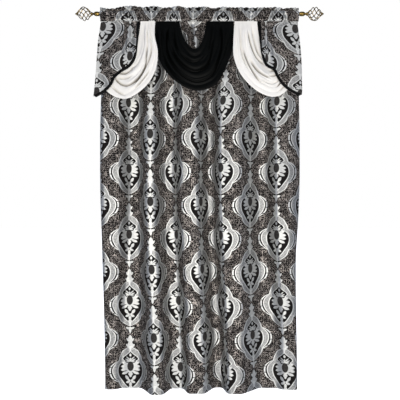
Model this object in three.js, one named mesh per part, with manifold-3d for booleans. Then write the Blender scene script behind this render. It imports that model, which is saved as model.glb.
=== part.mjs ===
// A blackout curtain with an attached valance, hung by its rod pocket on a brass rod.
// Millimetres, +Z up. The origin is on the rod's axis at mid-length. The front of the curtain faces -Y
// and +X is to the right of someone who looks at that front.
import * as THREE from 'three';
import { mergeVertices } from 'three/addons/utils/BufferGeometryUtils.js';
import Module from 'manifold-3d';

// Rod and finials
const ROD_DIAMETER = 19;
const ROD_LENGTH = 1112;
const COLLAR_LENGTH = 40;
const CAGE_LENGTH = 86;
const CAGE_DIAMETER = 76;
const CAGE_WIRES = 6;
const CAGE_TWIST = 1.15 * Math.PI;
const WIRE_RADIUS = 2.3;
const WIRE_BOW = 1.12; // above 1 the wires run straighter to the hubs
const TIP_LENGTH = 9;

// Cloth
const DAMASK = 1.6; // thickness of the jacquard
const CREPE = 1.2; // thickness of the plain swag cloth
const BINDING = 1.0; // thickness of the binding strip
const BINDING_WIDTH = 12;

// Clearances
const SEAT_GAP = 0.3; // between pieces that touch on the real curtain
const SEAM_GAP = 0.4; // between cloths that are caught in one seam
const BINDING_GAP = 1.3; // between the binding and the edge that it wraps

// Heights below and above the rod's axis
const HEADING_HALF_WIDTH = 550;
const STITCH_Z = 13.5; // the row of stitches between the pocket and the ruffle
const SEAM_TOP = -33;
const SEAM_BOTTOM = -42;
const TUCK_TOP = SEAM_TOP - 1; // cloths that hang from the seam start here, inside the heading
const HANG_Z = SEAM_BOTTOM - 2; // below this the cloths hang free of the seam
const MID_Z = -870; // the height at which the fold table's middle columns hold
const HEM_Z = -2095;

// How far the cloths lie in front of (-) or behind (+) the middle of the seam
const SEAM_SLOT_FRONT = -3.2;
const VALANCE_LAYER = SEAM_SLOT_FRONT + SEAM_GAP + DAMASK / 2;
const PANEL_LAYER = 2.4;
const SEAM_SLOT_BACK = PANEL_LAYER + DAMASK / 2 + SEAM_GAP;
const PANEL_SET_BACK = 12; // the panel hangs this much further back once it is clear of the seam
const VALANCE_LEAN = 0.14; // the panel's folds push the valance forward by this share of its drop
const SWAG_TUCK = 9; // a white swag passes this far behind the bound edge of its side fall
const SIDE_TUCK = 6; // the black swag's sides pass this far behind the white swags

// The heading's pocket and ruffle
const POCKET_FRONT = 16.5; // how far the pocket's front wall stands from the rod's axis
const POCKET_BACK = 15.5;
const PUCKER_FRONT = 3.5; // how far the gathers move that wall in and out
const PUCKER_BACK = 2.5;
const RUFFLE_SWAY = 6; // how far the ruffle's top edge sways
const HEADING_STATIONS = 56;

// The height of the ruffle's top edge along the heading
const RUFFLE = [
  { x: -550, top: 33 },
  { x: -500, top: 26 },
  { x: -450, top: 33 },
  { x: -370, top: 43 },
  { x: -310, top: 33 },
  { x: -252, top: 41 },
  { x: -200, top: 31 },
  { x: -130, top: 39 },
  { x: -60, top: 32 },
  { x: 10, top: 37 },
  { x: 80, top: 29 },
  { x: 137, top: 37 },
  { x: 200, top: 31 },
  { x: 270, top: 34 },
  { x: 330, top: 30 },
  { x: 410, top: 35 },
  { x: 475, top: 28 },
  { x: 550, top: 31 },
];

// The panel's folds from left to right. Each ridge (y below 0) or valley has a flat stretch of the given
// half-width, at middle height and at the hem. Where the cloth only turns, at the sides, there is none.
// Both sides turn back behind the hem.
const FOLDS = [
  { x: -556, y: 8, flat: 0, hemX: -515, hemY: 44, hemFlat: 0 },
  { x: -551, y: -6, flat: 0, hemX: -534, hemY: 14, hemFlat: 0 },
  { x: -496, y: -14, flat: 48, hemX: -496, hemY: 6, hemFlat: 28 },
  { x: -365, y: 43, flat: 26, hemX: -385, hemY: 26, hemFlat: 54 },
  { x: -274, y: -47, flat: 22, hemX: -231, hemY: -66, hemFlat: 28 },
  { x: -172, y: 32, flat: 28, hemX: -126, hemY: 18, hemFlat: 32 },
  { x: -59, y: -44, flat: 42, hemX: -17, hemY: -52, hemFlat: 39 },
  { x: 58, y: 36, flat: 17, hemX: 107, hemY: 32, hemFlat: 20 },
  { x: 168, y: -51, flat: 53, hemX: 195, hemY: -54, hemFlat: 36 },
  { x: 354, y: 44, flat: 24, hemX: 386, hemY: 26, hemFlat: 44 },
  { x: 461, y: -24, flat: 33, hemX: 509, hemY: -2, hemFlat: 30 },
  { x: 530, y: -10, flat: 0, hemX: 551, hemY: 18, hemFlat: 0 },
  { x: 563, y: 18, flat: 0, hemX: 508, hemY: 72, hemFlat: 0 },
];
const PANEL_ROWS = [
  TUCK_TOP, SEAM_BOTTOM, -70, -110, -170, -250, -350, -470, -640, MID_Z, -1170, -1480, -1790, HEM_Z,
];
const PANEL_COLUMNS = 72;
const PANEL_GATHERS = 11;
const GATHER_DEPTH = 3;

// Side falls: a row for each section, from the bound inner edge to the free outer edge
const JABOT_LEFT = [
  { boundX: -334, boundZ: -44, outerX: -547, outerZ: -44 },
  { boundX: -344, boundZ: -180, outerX: -560, outerZ: -162 },
  { boundX: -354, boundZ: -255, outerX: -563, outerZ: -237 },
  { boundX: -381, boundZ: -300, outerX: -565, outerZ: -300 },
  { boundX: -429, boundZ: -336, outerX: -567, outerZ: -351 },
  { boundX: -461, boundZ: -369, outerX: -569, outerZ: -391 },
  { boundX: -479, boundZ: -408, outerX: -571, outerZ: -425 },
  { boundX: -513, boundZ: -445, outerX: -573, outerZ: -456 },
  { boundX: -562, boundZ: -476, outerX: -576, outerZ: -472 },
];
const JABOT_RIGHT = [
  { boundX: 325, boundZ: -44, outerX: 543, outerZ: -44 },
  { boundX: 336, boundZ: -180, outerX: 552, outerZ: -151 },
  { boundX: 346, boundZ: -255, outerX: 557, outerZ: -237 },
  { boundX: 364, boundZ: -298, outerX: 558, outerZ: -300 },
  { boundX: 405, boundZ: -325, outerX: 558, outerZ: -346 },
  { boundX: 424, boundZ: -363, outerX: 557, outerZ: -385 },
  { boundX: 449, boundZ: -402, outerX: 557, outerZ: -419 },
  { boundX: 492, boundZ: -442, outerX: 556, outerZ: -447 },
  { boundX: 540, boundZ: -470, outerX: 554, outerZ: -464 },
];

// Swags: a row for each section along the fall of the folds, with the inner (upper) and outer (lower) edge
const SWAG_LEFT = [
  { innerX: -326, innerZ: -44, outerX: -247, outerZ: -44 },
  { innerX: -332, innerZ: -95, outerX: -246, outerZ: -133 },
  { innerX: -342, innerZ: -151, outerX: -229, outerZ: -214 },
  { innerX: -358, innerZ: -209, outerX: -234, outerZ: -300 },
  { innerX: -373, innerZ: -247, outerX: -264, outerZ: -380 },
  { innerX: -384, innerZ: -264, outerX: -323, outerZ: -447 },
  { innerX: -392, innerZ: -273, outerX: -393, outerZ: -484 },
  { innerX: -398, innerZ: -277, outerX: -460, outerZ: -472 },
  { innerX: -404, innerZ: -281, outerX: -517, outerZ: -433 },
];
const SWAG_CENTRE = [
  { innerX: -111, innerZ: -44, outerX: -243, outerZ: -44 },
  { innerX: -100, innerZ: -95, outerX: -246, outerZ: -151 },
  { innerX: -83, innerZ: -148, outerX: -222, outerZ: -262 },
  { innerX: -55, innerZ: -188, outerX: -150, outerZ: -371 },
  { innerX: -28, innerZ: -206, outerX: -24, outerZ: -442 },
  { innerX: -3, innerZ: -188, outerX: 84, outerZ: -411 },
  { innerX: 17, innerZ: -151, outerX: 143, outerZ: -312 },
  { innerX: 30, innerZ: -98, outerX: 186, outerZ: -180 },
  { innerX: 38, innerZ: -44, outerX: 190, outerZ: -44 },
];
const SWAG_RIGHT = [
  { innerX: 319, innerZ: -44, outerX: 195, outerZ: -44 },
  { innerX: 326, innerZ: -98, outerX: 187, outerZ: -151 },
  { innerX: 336, innerZ: -162, outerX: 187, outerZ: -243 },
  { innerX: 350, innerZ: -226, outerX: 211, outerZ: -323 },
  { innerX: 367, innerZ: -264, outerX: 253, outerZ: -388 },
  { innerX: 382, innerZ: -283, outerX: 318, outerZ: -447 },
  { innerX: 395, innerZ: -296, outerX: 388, outerZ: -474 },
  { innerX: 408, innerZ: -306, outerX: 442, outerZ: -463 },
  { innerX: 420, innerZ: -313, outerX: 487, outerZ: -428 },
];

// Ridges across a swag, from its inner edge at 0 to its outer edge at 1, with their height and half-width
const WHITE_RIDGES = [
  { at: 0.27, height: 7, width: 0.055 },
  { at: 0.43, height: 13, width: 0.06 },
  { at: 0.6, height: 15, width: 0.065 },
  { at: 0.77, height: 13, width: 0.065 },
  { at: 0.94, height: 10, width: 0.06 },
];
const BLACK_RIDGES = [
  { at: 0.07, height: 8, width: 0.06 },
  { at: 0.25, height: 12, width: 0.065 },
  { at: 0.43, height: 13, width: 0.07 },
  { at: 0.61, height: 12, width: 0.065 },
  { at: 0.78, height: 13, width: 0.065 },
  { at: 0.94, height: 9, width: 0.06 },
];
const SWAG_STEPS = 20; // across the ridges
const SWAG_SECTIONS = 16;
const JABOT_SECTIONS = 16;
const JABOT_COLUMNS = 7;

const finishes = {
  damask: { color: 0x4a4745, roughness: 0.6, metalness: 0 },
  white: { color: 0xf1eee8, roughness: 0.75, metalness: 0 },
  black: { color: 0x0c0d0c, roughness: 0.7, metalness: 0 },
  brass: { color: 0x9a6f35, roughness: 0.35, metalness: 1 },
};

const { lerp, smoothstep } = THREE.MathUtils;

function mesh(name, geometry, finish) {
  const part = new THREE.Mesh(geometry, new THREE.MeshStandardMaterial(finishes[finish]));
  part.name = name;
  return part;
}

// A closed body from points and triangles, with its faces turned outwards
function closedBody(points, triangles) {
  let volume = 0;
  for (const [a, b, c] of triangles) {
    volume += points[a].dot(points[b].clone().cross(points[c]));
  }
  const facing = volume < 0 ? triangles.map(([a, b, c]) => [a, c, b]) : triangles;
  const geometry = new THREE.BufferGeometry().setFromPoints(points);
  geometry.setIndex(facing.flat());
  geometry.computeVertexNormals();
  return geometry;
}

const quad = (a, b, c, d) => [[a, b, c], [a, c, d]];

// The normal of a net of points at one of its knots
function netNormal(net, row, column) {
  const last = [net.length - 1, net[0].length - 1];
  const down = net[Math.min(row + 1, last[0])][column].clone().sub(net[Math.max(row - 1, 0)][column]);
  const across = net[row][Math.min(column + 1, last[1])].clone().sub(net[row][Math.max(column - 1, 0)]);
  return across.cross(down).normalize();
}

// Cloth of even thickness about a net of points, closed round its rim
function sheet(net, thickness) {
  const rows = net.length;
  const columns = net[0].length;
  const points = [];
  for (const side of [0.5, -0.5]) {
    for (let r = 0; r < rows; r++) {
      for (let c = 0; c < columns; c++) {
        points.push(net[r][c].clone().addScaledVector(netNormal(net, r, c), side * thickness));
      }
    }
  }
  const front = (r, c) => r * columns + c;
  const back = (r, c) => rows * columns + front(r, c);
  const triangles = [];
  for (let r = 0; r + 1 < rows; r++) {
    for (let c = 0; c + 1 < columns; c++) {
      triangles.push(...quad(front(r, c), front(r, c + 1), front(r + 1, c + 1), front(r + 1, c)));
      triangles.push(...quad(back(r, c), back(r + 1, c), back(r + 1, c + 1), back(r, c + 1)));
    }
  }
  for (let r = 0; r + 1 < rows; r++) {
    const c = columns - 1;
    triangles.push(...quad(front(r, 0), front(r + 1, 0), back(r + 1, 0), back(r, 0)));
    triangles.push(...quad(front(r + 1, c), front(r, c), back(r, c), back(r + 1, c)));
  }
  for (let c = 0; c + 1 < columns; c++) {
    const r = rows - 1;
    triangles.push(...quad(front(0, c + 1), front(0, c), back(0, c), back(0, c + 1)));
    triangles.push(...quad(front(r, c), front(r, c + 1), back(r, c + 1), back(r, c)));
  }
  return closedBody(points, triangles);
}

// A body through a row of like sections, each a ring of points, with flat ends
function loft(rings) {
  const size = rings[0].length;
  const triangles = [];
  for (let s = 0; s + 1 < rings.length; s++) {
    for (let k = 0; k < size; k++) {
      const next = (k + 1) % size;
      triangles.push(...quad(s * size + k, s * size + next, (s + 1) * size + next, (s + 1) * size + k));
    }
  }
  const outline = rings[0].map((p) => new THREE.Vector2(p.y, p.z));
  const cap = THREE.ShapeUtils.triangulateShape(outline, []);
  const end = (rings.length - 1) * size;
  // The first end is turned against the walls, and the last end is turned the other way.
  const turnsLeft = THREE.ShapeUtils.area(outline) > 0;
  for (const [a, b, c] of cap) {
    triangles.push(turnsLeft ? [a, c, b] : [a, b, c]);
    triangles.push(turnsLeft ? [end + a, end + b, end + c] : [end + a, end + c, end + b]);
  }
  return closedBody(rings.flat(), triangles);
}

// A smooth line through two columns of a table, from its first row at 0 to its last at 1
function tableLine(table, xColumn, zColumn) {
  const points = table.map((row) => new THREE.Vector3(row[xColumn], 0, row[zColumn]));
  const line = new THREE.CatmullRomCurve3(points, false, 'centripetal');
  return (share) => line.getPoint(share);
}

// The seam's own slight waviness, the same for every cloth caught in it
function seamY(x) {
  return 0.6 * Math.sin(x / 38 + 0.6) + 0.2 * Math.sin(x / 23);
}

// How far the valance stands forward at a height
function valanceY(x, z) {
  return seamY(x) + VALANCE_LAYER - VALANCE_LEAN * Math.max(0, HANG_Z - z);
}

function makeRod() {
  const geometry = new THREE.CylinderGeometry(ROD_DIAMETER / 2, ROD_DIAMETER / 2, ROD_LENGTH, 20);
  const rod = mesh('rod', geometry, 'brass');
  rod.rotation.z = Math.PI / 2;
  return rod;
}

// The turned neck of a finial, from the rod's end outwards: a long bead, a waist and a small foot
function makeCollar(name, side) {
  const profile = [
    [0, 0], [9.5, 0], [11.3, 3], [12.3, 8], [12.5, 14], [12, 20], [10.4, 25], [7.8, 28.5],
    [6, 31], [5.6, 34], [6.4, 36.5], [8.5, 38], [8.5, COLLAR_LENGTH], [0, COLLAR_LENGTH],
  ].map(([radius, out]) => new THREE.Vector2(radius, out));
  const collar = mesh(name, new THREE.LatheGeometry(profile, 12), 'brass');
  collar.rotation.z = -side * Math.PI / 2;
  collar.position.x = side * (ROD_LENGTH / 2 + SEAT_GAP);
  return collar;
}

const wasm = await Module();
wasm.setup();

function toManifold(geometry) {
  const bare = geometry.clone();
  bare.deleteAttribute('normal');
  bare.deleteAttribute('uv');
  const merged = mergeVertices(bare, 1e-4);
  return new wasm.Manifold(new wasm.Mesh({
    numProp: 3,
    vertProperties: new Float32Array(merged.attributes.position.array),
    triVerts: new Uint32Array(merged.index.array),
  }));
}

function fromManifold(solid) {
  const { vertProperties, triVerts } = solid.getMesh();
  const geometry = new THREE.BufferGeometry();
  geometry.setAttribute('position', new THREE.BufferAttribute(new Float32Array(vertProperties), 3));
  geometry.setIndex(new THREE.BufferAttribute(new Uint32Array(triVerts), 1));
  return geometry;
}

// One wire of a cage: it bows out from the inner hub and winds round to the outer one
function cageWire(start) {
  const hubRadius = 5;
  const bow = CAGE_DIAMETER / 2 - WIRE_RADIUS - hubRadius;
  const steps = 12;
  const points = [];
  for (let k = 0; k <= steps; k++) {
    const share = k / steps;
    const radius = hubRadius + bow * Math.sin(Math.PI * share) ** WIRE_BOW;
    const angle = start + CAGE_TWIST * share;
    const out = lerp(2.5, CAGE_LENGTH - 2.5, share);
    points.push(new THREE.Vector3(radius * Math.cos(angle), out, radius * Math.sin(angle)));
  }
  const section = new THREE.Shape();
  section.absarc(0, 0, WIRE_RADIUS, 0, 2 * Math.PI);
  const extrudePath = new THREE.CatmullRomCurve3(points);
  return new THREE.ExtrudeGeometry(section, { steps: 13, curveSegments: 3, extrudePath });
}

// The wires of a finial, fused into a hub at each end, with a small pointed tip
function makeCage(name, side) {
  const hub = (profile) => new THREE.LatheGeometry(profile.map(([r, y]) => new THREE.Vector2(r, y)), 10);
  let cage = toManifold(hub([[0, 0], [10, 0], [9, 5], [0, 5]]));
  const far = CAGE_LENGTH;
  const tip = hub([[0, far - 6], [8, far - 5], [8.5, far - 1], [5, far + 1], [4, far + 4], [0, far + TIP_LENGTH]]);
  cage = cage.add(toManifold(tip));
  for (let k = 0; k < CAGE_WIRES; k++) {
    cage = cage.add(toManifold(cageWire(2 * Math.PI * k / CAGE_WIRES)));
  }
  const part = mesh(name, fromManifold(cage), 'brass');
  part.rotation.z = -side * Math.PI / 2;
  part.position.x = side * (ROD_LENGTH / 2 + COLLAR_LENGTH + 2 * SEAT_GAP);
  return part;
}

// How strongly the heading is drawn up at a place along the rod, from about -1 to 1
function gather(x) {
  return 0.6 * Math.sin(x / 11.5 + 1.6 * Math.sin(x / 71)) + 0.4 * Math.sin(x / 19.3 + 2.1);
}

function ruffleTop(x) {
  const next = Math.max(1, RUFFLE.findIndex((row) => row.x >= x));
  const [a, b] = [RUFFLE[next - 1], RUFFLE[next]];
  return lerp(a.top, b.top, smoothstep(x, a.x, b.x));
}

// A section of the heading across the rod: the front wall, the ruffle, the back wall and the pocket inside
function headingSection(x) {
  const front = -(POCKET_FRONT + PUCKER_FRONT * gather(x));
  const back = POCKET_BACK + PUCKER_BACK * gather(x + 40);
  const sway = gather(x * 0.8 + 15);
  const edge = RUFFLE_SWAY * sway;
  const top = ruffleTop(x);
  const slotFront = seamY(x) + SEAM_SLOT_FRONT;
  const slotBack = seamY(x) + SEAM_SLOT_BACK;
  const pocketTop = ROD_DIAMETER / 2 + SEAT_GAP;
  const section = [
    [slotFront - DAMASK, SEAM_BOTTOM], [slotFront - DAMASK, SEAM_TOP], [front * 0.86, -14], [front, -1],
    [front * 0.74, 8.5], [sway - DAMASK, STITCH_Z], [edge / 2 - DAMASK, lerp(STITCH_Z, top, 0.5)],
    [edge - DAMASK, top], [edge + DAMASK, top], [edge / 2 + DAMASK, lerp(STITCH_Z, top, 0.5)],
    [sway + DAMASK, STITCH_Z], [back * 0.74, 8.5], [back, -1], [back * 0.86, -14],
    [slotBack + DAMASK, SEAM_TOP], [slotBack + DAMASK, SEAM_BOTTOM], [slotBack, SEAM_BOTTOM],
    [slotBack, SEAM_TOP], [(back - DAMASK) * 0.86, -14], [back - DAMASK, -1], [(back - DAMASK) * 0.74, 8.2],
    [3, pocketTop], [-3, pocketTop], [(front + DAMASK) * 0.74, 8.2], [front + DAMASK, -1],
    [(front + DAMASK) * 0.86, -14], [slotFront, SEAM_TOP], [slotFront, SEAM_BOTTOM],
  ];
  return section.map(([y, z]) => new THREE.Vector3(x, y, z));
}

function makeHeading() {
  const rings = [];
  for (let k = 0; k <= HEADING_STATIONS; k++) {
    rings.push(headingSection(lerp(-HEADING_HALF_WIDTH, HEADING_HALF_WIDTH, k / HEADING_STATIONS)));
  }
  return mesh('heading', loft(rings), 'damask');
}

// The line of the panel's folds at a height, from its left side to its right
function panelLine(z) {
  const low = smoothstep(z, HEM_Z, MID_Z);
  const depth = 1 - smoothstep(z, -720, -60);
  const points = [];
  for (const fold of FOLDS) {
    const x = lerp(fold.hemX, fold.x * lerp(0.972, 1, depth), low);
    const y = depth * lerp(fold.hemY, fold.y, low);
    const flat = lerp(fold.hemFlat, fold.flat, low);
    const stretch = flat > 0 ? [-flat, -flat / 2, flat / 2, flat] : [0];
    points.push(...stretch.map((off) => new THREE.Vector3(x + off, y, z)));
  }
  return new THREE.CatmullRomCurve3(points, false, 'centripetal').getSpacedPoints(PANEL_COLUMNS);
}

function makePanel() {
  const net = PANEL_ROWS.map((z) => {
    const setBack = PANEL_SET_BACK * (1 - smoothstep(z, -190, SEAM_BOTTOM));
    const gathers = GATHER_DEPTH * smoothstep(z, -470, -140) * (1 - smoothstep(z, -130, SEAM_BOTTOM));
    const inSeam = smoothstep(z, -300, SEAM_BOTTOM);
    return panelLine(z).map((point, column) => {
      const wave = Math.sin(2 * Math.PI * PANEL_GATHERS * column / PANEL_COLUMNS);
      point.y += PANEL_LAYER + setBack + gathers * wave + inSeam * seamY(point.x);
      return point;
    });
  });
  return mesh('main_panel', sheet(net, DAMASK), 'damask');
}

// A side fall as a net of points: a row for each section, from the outer edge to the bound edge. The last
// column but one is the line to which the binding reaches.
function jabotNet(table) {
  const bound = tableLine(table, 'boundX', 'boundZ');
  const outer = tableLine(table, 'outerX', 'outerZ');
  const net = [];
  for (let s = 0; s <= JABOT_SECTIONS; s++) {
    const share = s / JABOT_SECTIONS;
    const [from, to] = [outer(share), bound(share)];
    const edgeRun = bound(Math.min(share + 0.02, 1)).sub(bound(Math.max(share - 0.02, 0))).normalize();
    const slant = to.clone().sub(from).normalize().cross(edgeRun).length();
    const inset = Math.min(BINDING_WIDTH / slant / to.distanceTo(from), 0.7);
    const row = [];
    for (let c = 0; c <= JABOT_COLUMNS; c++) {
      row.push(from.clone().lerp(to, (1 - inset) * c / JABOT_COLUMNS));
    }
    row.push(to);
    for (const point of row) {
      const loose = 1 - smoothstep(point.z, -200, SEAM_BOTTOM);
      const softFold = 2 + 3.5 * Math.sin(point.x / 26) + 2 * Math.sin(point.x / 41 + 1);
      point.y = valanceY(point.x, point.z) - loose * softFold;
    }
    net.push(row);
  }
  return net;
}

// The row by which a valance cloth is caught in the seam, above one end of its net
function tuckIn(row) {
  return row.map((point) => new THREE.Vector3(point.x, valanceY(point.x, TUCK_TOP), TUCK_TOP));
}

// The binding is folded over the bound edge: front flap, turn and back flap
function bindingNet(jabot) {
  const away = DAMASK / 2 + BINDING_GAP + BINDING / 2;
  const last = jabot[0].length - 1;
  const lines = [[], [], [], [], []];
  jabot.forEach((row, s) => {
    const [inner, edge] = [row[last - 1], row[last]];
    const outwards = edge.clone().sub(inner).normalize();
    const edgeNormal = netNormal(jabot, s, last);
    const innerNormal = netNormal(jabot, s, last - 1);
    lines[0].push(inner.clone().addScaledVector(innerNormal, away));
    lines[1].push(edge.clone().addScaledVector(edgeNormal, away));
    lines[2].push(edge.clone().addScaledVector(outwards, away));
    lines[3].push(edge.clone().addScaledVector(edgeNormal, -away));
    lines[4].push(inner.clone().addScaledVector(innerNormal, -away));
  });
  return lines;
}

function makeSideFall(side, table) {
  const net = jabotNet(table);
  const cloth = sheet([tuckIn(net[0]), ...net], DAMASK);
  return [
    mesh(`jabot_${side}`, cloth, 'damask'),
    mesh(`binding_${side}`, sheet(bindingNet(net), BINDING), 'black'),
  ];
}

function ridgeHeight(ridges, across) {
  return ridges.reduce((sum, { at, height, width }) => {
    return sum + height * Math.exp(-(((across - at) / width) ** 2));
  }, 0);
}

// A swag: folds run along its sections. A white one is tucked behind its side fall at its inner edge and
// at its end, and the black one is tucked behind the white ones at both sides of its outer edge.
function makeSwag(name, table, ridges, finish, tucked) {
  const inner = tableLine(table, 'innerX', 'innerZ');
  const outer = tableLine(table, 'outerX', 'outerZ');
  const net = [];
  for (let s = 0; s <= SWAG_SECTIONS; s++) {
    const share = s / SWAG_SECTIONS;
    const [from, to] = [inner(share), outer(share)];
    const row = [];
    for (let k = 0; k <= SWAG_STEPS; k++) {
      const across = k / SWAG_STEPS;
      const point = from.clone().lerp(to, across);
      const loose = 1 - smoothstep(point.z, -120, SEAM_BOTTOM);
      const inwards = 1 - smoothstep(across, 0.18, 0.38);
      const behind = tucked ? Math.max(smoothstep(share, 0.62, 0.86), inwards) : 0;
      const sideways = tucked ? 0 : smoothstep(across, 0.8, 0.97) * smoothstep(Math.abs(share - 0.5), 0.15, 0.3);
      const relief = ridgeHeight(ridges, across) * (1 - 0.85 * behind) * (1 - sideways);
      point.y = valanceY(point.x, point.z) + loose * (SWAG_TUCK * behind + SIDE_TUCK * sideways - relief);
      row.push(point);
    }
    net.push(row);
  }
  net.unshift(tuckIn(net[0]));
  if (!tucked) {
    net.push(tuckIn(net[net.length - 1]));
  }
  return mesh(name, sheet(net, CREPE), finish);
}

const curtain = new THREE.Group();
curtain.add(makeRod());
for (const [name, side] of [['left', -1], ['right', 1]]) {
  curtain.add(makeCollar(`collar_${name}`, side), makeCage(`cage_${name}`, side));
}
curtain.add(makeHeading(), makePanel());
curtain.add(...makeSideFall('left', JABOT_LEFT), ...makeSideFall('right', JABOT_RIGHT));
curtain.add(
  makeSwag('swag_left', SWAG_LEFT, WHITE_RIDGES, 'white', true),
  makeSwag('swag_centre', SWAG_CENTRE, BLACK_RIDGES, 'black', false),
  makeSwag('swag_right', SWAG_RIGHT, WHITE_RIDGES, 'white', true),
);

export default curtain;
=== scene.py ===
# %% [markdown]
# # A damask curtain with a swagged valance, on its rod
#
# The real object is a ready-made curtain panel of heavy jacquard, gathered on a slim brass rod by a pocket
# in its heading. A valance is caught in the same seam: a damask fall with a black bound edge at each side,
# two white swags and a black one. The CAD model holds every piece at its real size, so this script repeats
# its short tables and makes each cloth again with a fine surface, folds and finish.

# %% Load the frame
import math
from collections import namedtuple

import bpy
import numpy as np
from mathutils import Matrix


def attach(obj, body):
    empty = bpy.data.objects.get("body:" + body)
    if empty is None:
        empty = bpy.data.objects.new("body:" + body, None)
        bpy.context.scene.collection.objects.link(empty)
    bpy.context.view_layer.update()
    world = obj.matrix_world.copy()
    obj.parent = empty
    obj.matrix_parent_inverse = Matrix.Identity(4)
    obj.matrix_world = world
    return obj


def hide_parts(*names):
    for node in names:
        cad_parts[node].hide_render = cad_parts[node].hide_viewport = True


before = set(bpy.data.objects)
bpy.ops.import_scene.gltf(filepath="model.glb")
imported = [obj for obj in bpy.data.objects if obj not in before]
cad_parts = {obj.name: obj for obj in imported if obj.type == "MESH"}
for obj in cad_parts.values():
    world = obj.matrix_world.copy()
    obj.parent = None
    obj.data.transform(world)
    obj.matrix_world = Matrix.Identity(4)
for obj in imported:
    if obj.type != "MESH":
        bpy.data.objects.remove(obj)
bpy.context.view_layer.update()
MM = 0.001  # sizes are written in millimetres, and Blender's are in metres

# %% [markdown]
# ## The camera
#
# The picture is square, 400 pixels a side, and one pixel spans 5.557 mm at the rod. The hem bows down where
# a fold comes forward, which tells how near the camera stood: about 2.5 m, level, at half the height.

# %% Place the camera
PICTURE_PIXELS = 400
PIXEL = 5.557 * MM
VIEW_DISTANCE = 2.5
EYE = (0.003, -VIEW_DISTANCE, -1.034)

bpy.ops.object.camera_add(location=EYE, rotation=(math.pi / 2, 0, 0))
camera = bpy.context.object
camera.data.sensor_width = 36
camera.data.lens = camera.data.sensor_width * VIEW_DISTANCE / (PICTURE_PIXELS * PIXEL)
bpy.context.scene.camera = camera
print("camera lens in millimetres:", round(camera.data.lens, 2))

# %% [markdown]
# ## Helpers for nodes
#
# Every finish below is a tree of shader nodes. One small function adds a node and fills its sockets, each
# with a plain value or with a link from another node. Another turns the hex colours that artists write into
# the linear light values that shaders use.


# %% Add nodes and read colours
def linear(hex_colour):
    """A hex sRGB colour as linear red, green, blue and alpha."""
    shares = [int(hex_colour[k : k + 2], 16) / 255 for k in (1, 3, 5)]
    return (*[s / 12.92 if s <= 0.04045 else ((s + 0.055) / 1.055) ** 2.4 for s in shares], 1.0)


def fill(tree, node, inputs):
    """Fills sockets of a node. Each input is a value, or a node or socket to link from."""
    for name, value in inputs.items():
        if isinstance(value, bpy.types.Node):
            value = value.outputs[0]
        if isinstance(value, bpy.types.NodeSocket):
            tree.links.new(value, node.inputs[name])
        else:
            node.inputs[name].default_value = value


def add(tree, kind, inputs=None, **settings):
    """Adds a shader node with its settings and inputs."""
    node = tree.nodes.new("ShaderNode" + kind)
    for name, value in settings.items():
        setattr(node, name, value)
    fill(tree, node, inputs or {})
    return node


def new_finish(name):
    """A new material, its node tree and its shader."""
    finish = bpy.data.materials.new(name)
    finish.use_nodes = True
    return finish, finish.node_tree, finish.node_tree.nodes["Principled BSDF"]


def flat_place(tree):
    """A point's place on the flat cloth, in millimetres."""
    place = add(tree, "UVMap", uv_map="cloth")
    return add(tree, "VectorMath", {0: place, 1: (1 / MM, 1 / MM, 0)}, operation="MULTIPLY")


print("mid grey in linear light:", [round(v, 3) for v in linear("#808080")[:3]])

# %% [markdown]
# ## The studio
#
# The curtain was shot on plain white with a large soft light close to the camera: what faces it is bright,
# and the steep sides of the folds fall off to a bluish grey. So a wide, warm softbox stands behind the
# camera, a weak one lights the right edge, which turns away, and a bluish room fills the shadows. Only the
# camera sees the room as white, because a white room would light the folds from all sides.

# %% Light the studio
FLOOR_Z = -2.16

scene = bpy.context.scene
scene.view_settings.view_transform = "Standard"
world = bpy.data.worlds.new("white studio")
world.use_nodes = True
scene.world = world
room = world.node_tree
room.nodes.clear()
dim = add(room, "Background", {"Color": linear("#d0daf2"), "Strength": 0.42})
white = add(room, "Background", {"Color": linear("#ffffff"), "Strength": 1.0})
seen = add(room, "LightPath").outputs["Is Camera Ray"]
mixed = add(room, "MixShader", {0: seen, 1: dim, 2: white})
add(room, "OutputWorld", {"Surface": mixed})

# Lamps: name, place, the point it faces, width, height, watts and colour
LAMPS = [
    ("wide softbox", (0.0, -3.6, -1.45), (0.0, 0.0, -1.45), 3.4, 2.0, 132, "#fffaf2"),
    ("side softbox", (2.9, -1.9, -1.1), (0.5, 0.0, -1.1), 1.2, 2.6, 10, "#fffaf2"),
    ("back fill", (-1.2, 3.2, 0.6), (0.0, 0.0, -1.0), 2.0, 2.0, 60, "#f4f6ff"),
]
for name, place, aim, width, height, watts, colour in LAMPS:
    bpy.ops.object.light_add(type="AREA", location=place)
    light = bpy.context.object
    light.name = name
    light.data.shape = "RECTANGLE"
    light.data.size = width
    light.data.size_y = height
    light.data.energy = watts
    light.data.color = linear(colour)[:3]
    way = np.subtract(aim, place)
    light.rotation_euler = (math.acos(-way[2] / np.linalg.norm(way)), 0, math.atan2(-way[0], way[1]))

bpy.ops.mesh.primitive_plane_add(size=30, location=(0, 0, FLOOR_Z))
floor = bpy.context.object
floor.name = "studio_floor"
floor.visible_diffuse = False
floor.visible_glossy = False
pale, tree, shader = new_finish("pale studio floor")
fill(tree, shader, {
    "Base Color": linear("#ededed"), "Roughness": 0.9,
    "Emission Color": linear("#ffffff"), "Emission Strength": 1.0,
})
floor.data.materials.append(pale)
print("lamps:", [name for name, *_ in LAMPS])

# %% [markdown]
# ## The damask
#
# Damask is a jacquard weave: bright filament yarn floats on the face where the figure is, and sinks to the
# back elsewhere. The figure is a traditional ogee medallion in a half-drop repeat, on a vermicelli ground
# of short taupe curls. It could be painted as an image, but nodes keep it sharp at any size. A medallion is
# drawn in millimetres round its seed, and only its right half is described: the left half mirrors it.

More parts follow.
